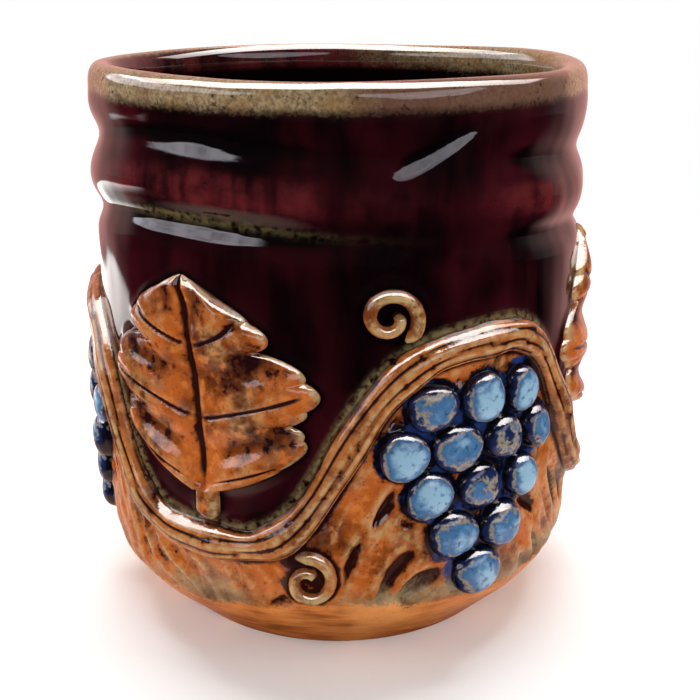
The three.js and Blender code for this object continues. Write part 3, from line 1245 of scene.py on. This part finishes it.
@dataclass
class Pot:
    """The thrown body: wall, lip, inside and trimmed foot, with the clay worked up to the relief."""

    relief: Relief
    inner_radius: float = 37.4
    lip_crown: float = 4.0
    floor_top: float = 8.5
    floor_fillet: float = 12.0
    foot_ring: float = 6.0
    foot_hollow: float = 2.0
    apron: float = 0.32  # clay pushed up against the relief
    scoop: float = 1.0  # depth of the gouge marks in the amber ground
    scoop_rows: range = range(-2, 9)
    scoops_round: int = 25
    scoop_pitch: float = 6.4  # from row to row
    scoop_stretch: float = 1.6
    scoop_seed: int = 52
    fold: float = 0.95  # height of the wrinkles above the foot
    fold_angle: float = math.radians(230.0)
    fold_spread: float = math.radians(22.0)
    fold_slant: float = math.radians(48.0)
    fold_pitch: float = 4.0
    fold_begins: Band = (9.0, 12.5)
    fold_ends: Band = (19.0, 27.0)
    fold_bend: Wobble = Wobble(55, 0.3, (5, 15), 0.2)
    ash_angle: float = math.radians(266.0)
    patches: Wobble = Wobble(53, 0.5, (2, 9), 0.15)  # of ash and bare clay
    lip_squareness: float = 0.72
    wall_rows: tuple[tuple[float, float, int], ...] = (  # first height, last height and count
        (0.5, 14.0, 24),
        (14.5, 69.5, 86),
        (70.2, 91.0, 30),
    )
    columns: int = 508
    lip_steps: int = 18
    inside_steps: int = 17
    corner_steps: int = 8
    floor_steps: int = 4
    inside_rings: Wobble = Wobble(51, 0.12, (1, 4), 0.9)

    def scoops(self, x: Array, below: Array) -> tuple[Array, Array]:
        """Finds how far each place is from the middle of its gouge mark, and how deep that mark is.

        The marks are cells about seeded points in staggered rows that follow the vine, longer than they are
        high. The distance is twice the one to the nearest point over the sum of the two nearest.

        Args:
            x: Distances round the wall.
            below: Depths below the vine's middle line.

        Returns:
            A value that is 0 in the middle of a mark and 1 on the ridge between two, and depths from 0 to 1.
        """
        rng = np.random.default_rng(self.scoop_seed)
        lap = self.relief.scroll.wall.lap
        row, place = np.meshgrid(self.scoop_rows, np.arange(self.scoops_round), indexing="ij")
        spot_x = (place + 0.5 * (row % 2) + rng.uniform(-0.3, 0.3, row.shape)) * lap / self.scoops_round
        spot_z = (row + rng.uniform(-0.25, 0.25, row.shape)) * self.scoop_pitch
        depths = rng.uniform(0.0, 1.0, row.size)
        ratio, depth = np.empty(x.size), np.empty(x.size)
        for part in batches(x.size):
            across = x.ravel()[part, None] - spot_x.ravel()[None, :]
            across -= lap * np.round(across / lap)
            up = below.ravel()[part, None] - spot_z.ravel()[None, :]
            far = np.hypot(across / self.scoop_stretch, up)
            two = np.partition(far, 1, axis=1)[:, :2]
            ratio[part] = 2.0 * two[:, 0] / two.sum(axis=1)
            depth[part] = depths[far.argmin(axis=1)]
        return ratio.reshape(x.shape), depth.reshape(x.shape)

    def folds(self, angle: Array, z: Array) -> tuple[Array, Array]:
        """Raises wrinkles in the clay above the foot on one side.

        They are slanting waves, 1 less the size of a sine, bent by a wobble, in a patch that fades out.

        Args:
            angle: Angles round the pot.
            z: Heights.

        Returns:
            The wrinkles from 0 to 1, and how much of the patch each place is in.
        """
        wall = self.relief.scroll.wall
        aside = wall.apart(angle, self.fold_angle)
        patch = bell(aside, self.fold_spread) * smooth(*self.fold_begins, z)
        patch = patch * (1.0 - smooth(*self.fold_ends, z))
        across = z * math.cos(self.fold_slant) + aside * wall.radius * math.sin(self.fold_slant)
        wave = across / self.fold_pitch + self.fold_bend.at(angle, z)
        return 1.0 - np.abs(np.sin(math.pi * wave)) ** 0.8, patch

    def outside(self, x: Array) -> tuple[Array, Marks]:
        """Shapes the wall: up to the relief with a small fillet, and gouged below the vine.

        Args:
            x: Distances round the wall, one for each column.

        Returns:
            Points and marks from the foot up to the lip.
        """
        plan = self.relief.scroll
        x, z = np.meshgrid(x, np.concatenate([np.linspace(*rows) for rows in self.wall_rows]))
        bunch = np.minimum.reduce([b.distance(x, z) for b in self.relief.bunches])
        others = [self.relief.vine, *self.relief.leaves, *self.relief.tendrils]
        near = np.minimum.reduce([bunch, *(piece.distance(x, z) for piece in others)])
        below = plan.vine_height(x) - z
        amber = smooth(-0.8, 0.8, below)
        angle, high = plan.nudge(x, z)
        fold, patch = self.folds(angle, high)
        cell, deep = self.scoops(x, below)
        worked = amber * smooth(0.4, 2.0, near) * smooth(9.0, 14.0, z) * (1.0 - patch)
        cut = smooth(0.35, 0.75, deep)
        dish = 0.4 * (1.0 - cell**2) + cut * (1.0 - smooth(0.3, 0.85, cell))
        out = self.apron * bell(near, 0.9) - self.scoop * dish * worked
        out = out + self.fold * (fold - 0.4) * patch * smooth(0.0, 2.0, near)
        lift = plan.wall.ring_lift(angle, high)
        pool = np.exp(-np.maximum(near, 0.0) / 0.8) * smooth(-3.0, 0.0, near)
        pool = np.maximum(pool, worked * cut * (1.0 - smooth(0.5, 0.74, cell)))
        pool = np.maximum(pool, 0.4 * patch * (1.0 - smooth(0.05, 0.35, fold)))
        crests = smooth(-0.05, 0.55, lift) * (1.0 - smooth(81.0, 85.0, high))
        thin = np.maximum(crests, 0.5 * worked * smooth(0.8, 0.98, cell))
        thin = np.maximum(thin, worked * cut * bell(cell - 0.8, 0.07))
        thin = np.maximum(thin, patch * smooth(0.45, 0.85, fold))
        patches = self.patches.at(angle, high)
        front = 0.9 * np.cos(angle - self.ash_angle) - 0.05
        fringe = bell(plan.wall.past(angle, high, plan.wall.rings[-1]) + 0.3, 0.6)
        fringe = 0.5 * fringe * plan.wall.climbed(angle) ** 3
        marks = {
            Mark.POOL: np.maximum(pool, smooth(0.1, 0.9, -lift)),
            Mark.BREAK: thin,
            Mark.AMBER: amber,
            Mark.BLUE: np.exp(-np.maximum(bunch, 0.0) / 1.2),
            Mark.BARE: 1.0 - smooth(9.0, 15.0, high + 1.5 * patches),
            Mark.ASH: bell(high - 12.8, 3.4) * smooth(-0.3, 0.7, 0.6 * patches + front - 0.8 * patch),
            Mark.LIP: smooth(89.4, 92.8, high),
            Mark.OLIVE: np.maximum(0.85 * bell(self.relief.vine.distance(x, z) - 0.3, 0.6), fringe),
        }
        return plan.place(x, z, out), marks

    def around(self, x: Array, radius: Array, z: Array, set_marks: Marks) -> tuple[Array, Marks]:
        """Turns radii and heights into rings of points, with all marks but a few left at 0.

        Args:
            x: Distances round the wall, one for each column.
            radius: Radii, rows by columns.
            z: Heights, rows by columns.
            set_marks: The marks that aren't 0, by rows.

        Returns:
            Points and marks.
        """
        angle = self.relief.scroll.angle(x)[None, :]
        blank = 0.0 * (radius + z + angle)
        points = np.stack([radius * np.cos(angle), radius * np.sin(angle), z + blank], axis=-1)
        return points, {mark: blank + set_marks.get(mark, 0.0) for mark in Mark if mark is not Mark.CROWN}

    def underside(self, x: Array) -> tuple[Array, Marks]:
        """Turns a profile of the hollow and the foot ring under the pot, rounded at its two edges.

        Args:
            x: Distances round the wall, one for each column.

        Returns:
            Points and marks from the middle out to the wall.
        """
        outer = self.relief.scroll.wall.foot_radius
        inner = outer - self.foot_ring
        profile = np.array(
            [
                (0.0, self.foot_hollow),
                (8.0, self.foot_hollow),
                (16.0, self.foot_hollow),
                (inner - 1.6, self.foot_hollow),
                (inner - 0.9, 0.85 * self.foot_hollow),
                (inner - 0.3, 0.2),
                (inner + 0.4, 0.0),
                (outer - 0.8, 0.0),
                (outer + 0.1, 0.12),
            ]
        )
        radius, z = profile[:, :1], profile[:, 1:]
        return self.around(x, radius, z, {Mark.BARE: np.ones_like(radius)})

    def lip_and_inside(self, x: Array) -> tuple[Array, Marks]:
        """Shapes the lip as half an oval a little squarer than an ellipse, and then the inside.

        The inside is straight with faint rings, turns by a quarter of a circle and ends in a flat floor.

        Args:
            x: Distances round the wall, one for each column.

        Returns:
            Points and marks from the top of the wall to the middle of the floor.
        """
        plan = self.relief.scroll
        shoulder = plan.wall.height - self.lip_crown
        angle, high = plan.nudge(x[None, :], np.full((1, x.size), shoulder))
        outer = plan.wall.outside(angle, high)
        arc = np.linspace(0.0, math.pi, self.lip_steps + 1)[1:, None]
        reach = np.sign(np.cos(arc)) * np.abs(np.cos(arc)) ** self.lip_squareness
        lip_r = (outer + self.inner_radius) / 2.0 + (outer - self.inner_radius) / 2.0 * reach
        lip_z = high + self.lip_crown * np.abs(np.sin(arc)) ** self.lip_squareness
        corner = self.floor_top + self.floor_fillet
        down = 1.0 - np.linspace(0.0, 1.0, self.inside_steps + 1)[1:, None] ** 2
        wall_z = corner + (high - corner) * down
        faded = smooth(0.0, 0.2, 1.0 - down) * smooth(0.0, 0.2, down)
        ripple = self.inside_rings.at(angle, wall_z) * faded
        bend = np.linspace(0.0, math.pi / 2.0, self.corner_steps + 1)[1:, None]
        bend_r = self.inner_radius - self.floor_fillet * (1.0 - np.cos(bend))
        bend_z = corner - self.floor_fillet * np.sin(bend)
        floor_r = np.linspace(bend_r[-1, 0], 0.0, self.floor_steps + 1)[1:, None]
        flat = np.ones((1, x.size))
        radius = np.concatenate([lip_r, self.inner_radius + ripple, bend_r * flat, floor_r * flat])
        floor_z = np.full((self.floor_steps, x.size), self.floor_top)
        z = np.concatenate([lip_z, wall_z, bend_z * flat, floor_z])
        over = np.concatenate([arc / math.pi, np.ones((radius.shape[0] - arc.size, 1))])
        right = smooth(-0.2, 0.9, np.cos(angle))
        deep = shoulder - z
        tan = 1.0 - smooth(0.44, 0.8, over - 0.3 * right)
        marks = {
            Mark.LIP: np.maximum(tan, (0.14 + 0.66 * right) * (1.0 - smooth(-1.2, 1.8, deep))),
            Mark.BREAK: smooth(0.5, 0.9, over) * (1.0 - smooth(-0.8, 1.8, deep)),
            # Painted shade: the inside goes black from just below the lip, and less so deep down.
            Mark.POOL: smooth(-1.0, 1.6, deep) * (1.0 - 0.6 * smooth(5.0, 25.0, deep)),
        }
        return self.around(x, radius, z, marks)

    def build(self) -> None:
        """Joins underside, wall, lip and inside into one closed skin and fits it in place of its node."""
        x = np.linspace(0.0, self.relief.scroll.wall.lap, self.columns, endpoint=False)
        blocks = [self.underside(x), self.outside(x), self.lip_and_inside(x)]
        points = np.concatenate([block[0] for block in blocks])
        marks = {mark: np.concatenate([block[1][mark] for block in blocks]) for mark in blocks[1][1]}
        piece = make_piece("thrown_pot", [Skin(points, marks)], PotGlaze().material())
        fit(piece, ["clay_body"])


@dataclass(frozen=True)
class Lamp:
    """A soft lamp that lights the pot and isn't mirrored in its glaze."""

    name: str
    spot: Point  # metres
    size: tuple[float, float]  # metres
    watts: float

    def hang(self, target: Point) -> None:
        """Adds the lamp to the scene, turned to face a point.

        Args:
            target: The point.
        """
        data = bpy.data.lights.new(self.name, "AREA")
        data.shape = "RECTANGLE"
        data.size, data.size_y = self.size
        data.energy = self.watts
        lamp = put(self.name, data)
        x, y, z = np.subtract(target, self.spot)
        lamp.location = self.spot
        lamp.rotation_euler = (math.pi / 2.0 + math.atan2(z, math.hypot(x, y)), 0.0, math.atan2(-x, y))
        lamp.visible_camera = False
        lamp.visible_glossy = False


@dataclass(frozen=True)
class Window:
    """A lens of light that the glaze mirrors as a streak."""

    middle: float  # turn from the camera's side
    half: float  # turn from the middle to either end
    strength: float
    sill_rise: float = 0.27  # from the middle to either end

    def light(self, board: Board, turn: Value, z: Value) -> Socket:
        """Lights what lies above a sill, a parabola that rises to both ends, and between the ends.

        Args:
            board: The world that it goes in.
            turn: Turns round the pot from the camera's side.
            z: Heights of directions, from -1 to 1.

        Returns:
            Strengths of light.
        """
        aside = board.maths("DIVIDE", board.maths("SUBTRACT", turn, self.middle), self.half)
        sill = board.maths("MULTIPLY", aside, aside, self.sill_rise)
        lens = board.step(board.maths("SUBTRACT", z, sill), 0.15, 0.18, self.strength)
        return board.maths("MULTIPLY", lens, board.step(aside, 1.0, 0.9), board.step(aside, -1.0, -0.9))


@dataclass
class Studio:
    """A pale floor, soft lamps, a white surround and the camera."""

    eye: Point = (0.0022, -0.209, 0.1107)
    dip: float = math.radians(18.0)
    lens: float = 61.46
    sensor: float = 36.0
    lamps: tuple[Lamp, ...] = (
        Lamp("overhead", (0.0, 0.16, 0.7), (0.8, 0.18), 7.0),
        Lamp("front_box", (-0.05, -0.7, 0.3), (1.3, 0.3), 3.5),
        Lamp("left_box", (-0.5, -0.02, 0.1), (0.3, 0.16), 1.3),
        Lamp("right_box", (0.5, -0.02, 0.1), (0.3, 0.16), 1.4),
    )
    aim: Point = (0.0, 0.0, 0.05)  # what the lamps face
    windows: tuple[Window, ...] = (Window(-2.05, 1.55, 5.0), Window(0.7, 0.62, 3.6))
    front: Point = (0.0, -0.996, 0.087)  # the side that the overhead panel is set for
    floor_radius: float = 0.5
    floor_sides: int = 96
    paper: Colour = (0.93, 0.93, 0.93, 1.0)
    white: Colour = (1.0, 1.0, 1.0, 1.0)
    warm: Colour = (1.0, 0.94, 0.91, 1.0)  # mirrored from above and from a card on the floor
    ruddy: Colour = (1.0, 0.49, 0.45, 1.0)  # mirrored from behind
    blush: Colour = (1.0, 0.66, 0.52, 1.0)  # mirrored from beside the foot
    cool: Colour = (0.94, 0.91, 1.0, 1.0)  # mirrored from the windows
    fill: float = 0.3  # light of the surround on the clay
    gloom: float = 0.02  # mirrored from where nothing shines

    def veil(self, board: Board, right: Value, back: Value) -> Socket:
        """Glow that the pot mirrors from behind, a smooth rise on each side.

        Args:
            board: The material or world that it goes in.
            right: How far a place counts as the right side.
            back: How far back it lies, 0 beside the pot and 1 straight behind.

        Returns:
            Strengths of light.
        """
        return board.blend(right, board.step(back, 0.2, 0.7, 0.78), board.step(back, 0.25, 0.85, 0.9))

    def floor_glow(self, board: Board, far: Value) -> Socket:
        """Mixes what mirrors see of the floor: the veil, a white card at the back, a blush by the foot.

        Args:
            board: The floor's material.
            far: Distances from the middle of the floor.

        Returns:
            The glow as a shader.
        """
        spot = board.add("ShaderNodeSeparateXYZ", {"Vector": board.place}).outputs
        x, y = spot["X"], spot["Y"]
        card = board.maths(
            "MULTIPLY",
            board.step(far, 0.31, 0.27),
            board.step(far, 0.12, 0.26),
            board.step(x, -0.25, -0.21, 2.6),
            board.step(x, 0.12, -0.08),
            board.step(y, -0.02, 0.06, 1.4),
        )
        aside = board.maths("ABSOLUTE", x)
        turn = board.maths("ARCTAN2", y, board.maths("SUBTRACT", aside, 0.03))
        veil = self.veil(board, board.step(x, -0.08, 0.12), board.maths("SINE", turn))
        near = board.maths("MULTIPLY", board.step(far, 0.11, 0.07), board.step(aside, 0.012, 0.04))
        strength = board.blend(near, board.maths("MAXIMUM", veil, card), 0.9)
        tint = board.mix(board.step(card, 0.07, 0.84), self.ruddy, self.warm)
        tint = board.mix(near, tint, self.blush)
        return board.add("ShaderNodeEmission", {"Color": tint, "Strength": strength}).outputs["Emission"]

    def floor(self) -> None:
        """Lays a pale disc on the level z = 0 that fades outwards, and that mirrors see as a glow."""
        turn = np.linspace(0.0, TURN, self.floor_sides, endpoint=False)
        rim = self.floor_radius * np.stack([np.cos(turn), np.sin(turn), 0.0 * turn], axis=-1)
        mesh = bpy.data.meshes.new("floor")
        mesh.from_pydata(rim.tolist(), [], [list(range(self.floor_sides))])
        board = Board(bpy.data.materials.new("floor_paper"))
        far = board.add("ShaderNodeVectorMath", {0: board.place}, operation="LENGTH").outputs["Value"]
        paper = board.add("ShaderNodeBsdfDiffuse", {"Color": self.paper}).outputs["BSDF"]
        clear = board.add("ShaderNodeBsdfTransparent").outputs["BSDF"]
        seen = board.add("ShaderNodeMixShader", {0: board.step(far, 0.1, 0.42), 1: paper, 2: clear})
        glossy = board.add("ShaderNodeLightPath").outputs["Is Glossy Ray"]
        sides = {0: glossy, 1: seen.outputs["Shader"], 2: self.floor_glow(board, far)}
        both = board.add("ShaderNodeMixShader", sides)
        board.add("ShaderNodeOutputMaterial", {"Surface": both.outputs["Shader"]})
        mesh.materials.append(board.owner)
        put("floor", mesh)

    def panel(self, board: Board, look: Value) -> Socket:
        """Lights a panel overhead, drawn by the way the glaze has to face to mirror it to the front.

        That is halfway between a mirrored direction and the front. The panel is a band of such facings that
        sinks to both sides, is brightest in the middle and ends sooner on the far side.

        Args:
            board: The world that it goes in.
            look: Mirrored directions.

        Returns:
            Strengths of light.
        """
        halfway = board.add("ShaderNodeVectorMath", {0: look, 1: self.front}, operation="ADD")
        facing = board.add("ShaderNodeVectorMath", {0: halfway.outputs["Vector"]}, operation="NORMALIZE")
        parts = board.add("ShaderNodeSeparateXYZ", {"Vector": facing.outputs["Vector"]}).outputs
        wide = board.maths("ABSOLUTE", parts["X"])
        above = board.maths("ADD", parts["Z"], board.maths("MULTIPLY", wide, 0.3))
        under = board.maths("ADD", parts["Z"], board.maths("MULTIPLY", wide, 0.6))
        ends = board.maths("ADD", wide, board.step(parts["Y"], -0.05, 0.1, 0.22))
        return board.maths(
            "MULTIPLY",
            board.step(above, 0.57, 0.61),
            board.step(under, 0.99, 0.96),
            board.step(ends, 0.72, 0.68),
            board.maths("ADD", board.step(wide, 0.7, 0.3, 14.0), 8.0),
        )

    def surround(self) -> None:
        """Makes the world: white to the camera, dim to the clay, and a made-up room to mirrors."""
        world = bpy.data.worlds.new("studio")
        bpy.context.scene.world = world
        board = Board(world)
        rays = board.add("ShaderNodeLightPath").outputs
        look = board.add("ShaderNodeTexCoord").outputs["Generated"]
        parts = board.add("ShaderNodeSeparateXYZ", {"Vector": look}).outputs
        x, y, z = (parts[axis] for axis in "XYZ")
        clouds = board.add("ShaderNodeTexNoise", {"Vector": look, "Scale": 7.0, "Detail": 3.0}).outputs["Fac"]
        turn = board.maths("ARCTAN2", x, board.maths("MULTIPLY", y, -1.0))
        windows = board.maths(
            "MULTIPLY",
            board.maths("ADD", *(window.light(board, turn, z) for window in self.windows)),
            board.step(clouds, -0.2, 0.75),
            board.step(z, 0.57, 0.49),
            board.step(turn, -2.4, -2.2),
        )
        behind = self.veil(board, board.step(x, -0.1, 0.35), y)
        mirrored = board.maths("ADD", self.panel(board, look), windows, behind, self.gloom)
        light = board.blend(rays["Is Glossy Ray"], self.fill, mirrored)
        shown = board.blend(rays["Is Camera Ray"], light, 1.0)
        tint = board.mix(board.step(y, 0.2, 0.7), self.warm, self.ruddy)
        tint = board.mix(board.step(windows, 0.0, 0.5), tint, self.cool)
        tint = board.mix(rays["Is Glossy Ray"], self.white, tint)
        back = board.add("ShaderNodeBackground", {"Color": tint, "Strength": shown})
        board.add("ShaderNodeOutputWorld", {"Surface": back.outputs["Background"]})

    def camera(self) -> None:
        """Sets the camera at the photograph's angle, level from side to side and dipped to the pot."""
        data = bpy.data.cameras.new("camera")
        data.lens = self.lens
        data.sensor_width = self.sensor
        camera = put("camera", data)
        camera.location = self.eye
        camera.rotation_euler = (math.pi / 2.0 - self.dip, 0.0, 0.0)
        bpy.context.scene.camera = camera

    def build(self) -> None:
        """Sets up the studio."""
        self.floor()
        for lamp in self.lamps:
            lamp.hang(self.aim)
        self.surround()
        self.camera()
        bpy.context.scene.view_settings.view_transform = "Standard"


def main() -> None:
    """Builds the mug and its studio."""
    logging.basicConfig(level=logging.INFO, format="%(message)s")
    Studio().build()
    relief = Relief(Scroll(Wall()))
    relief.build()
    Pot(relief).build()


if __name__ == "__main__":
    main()
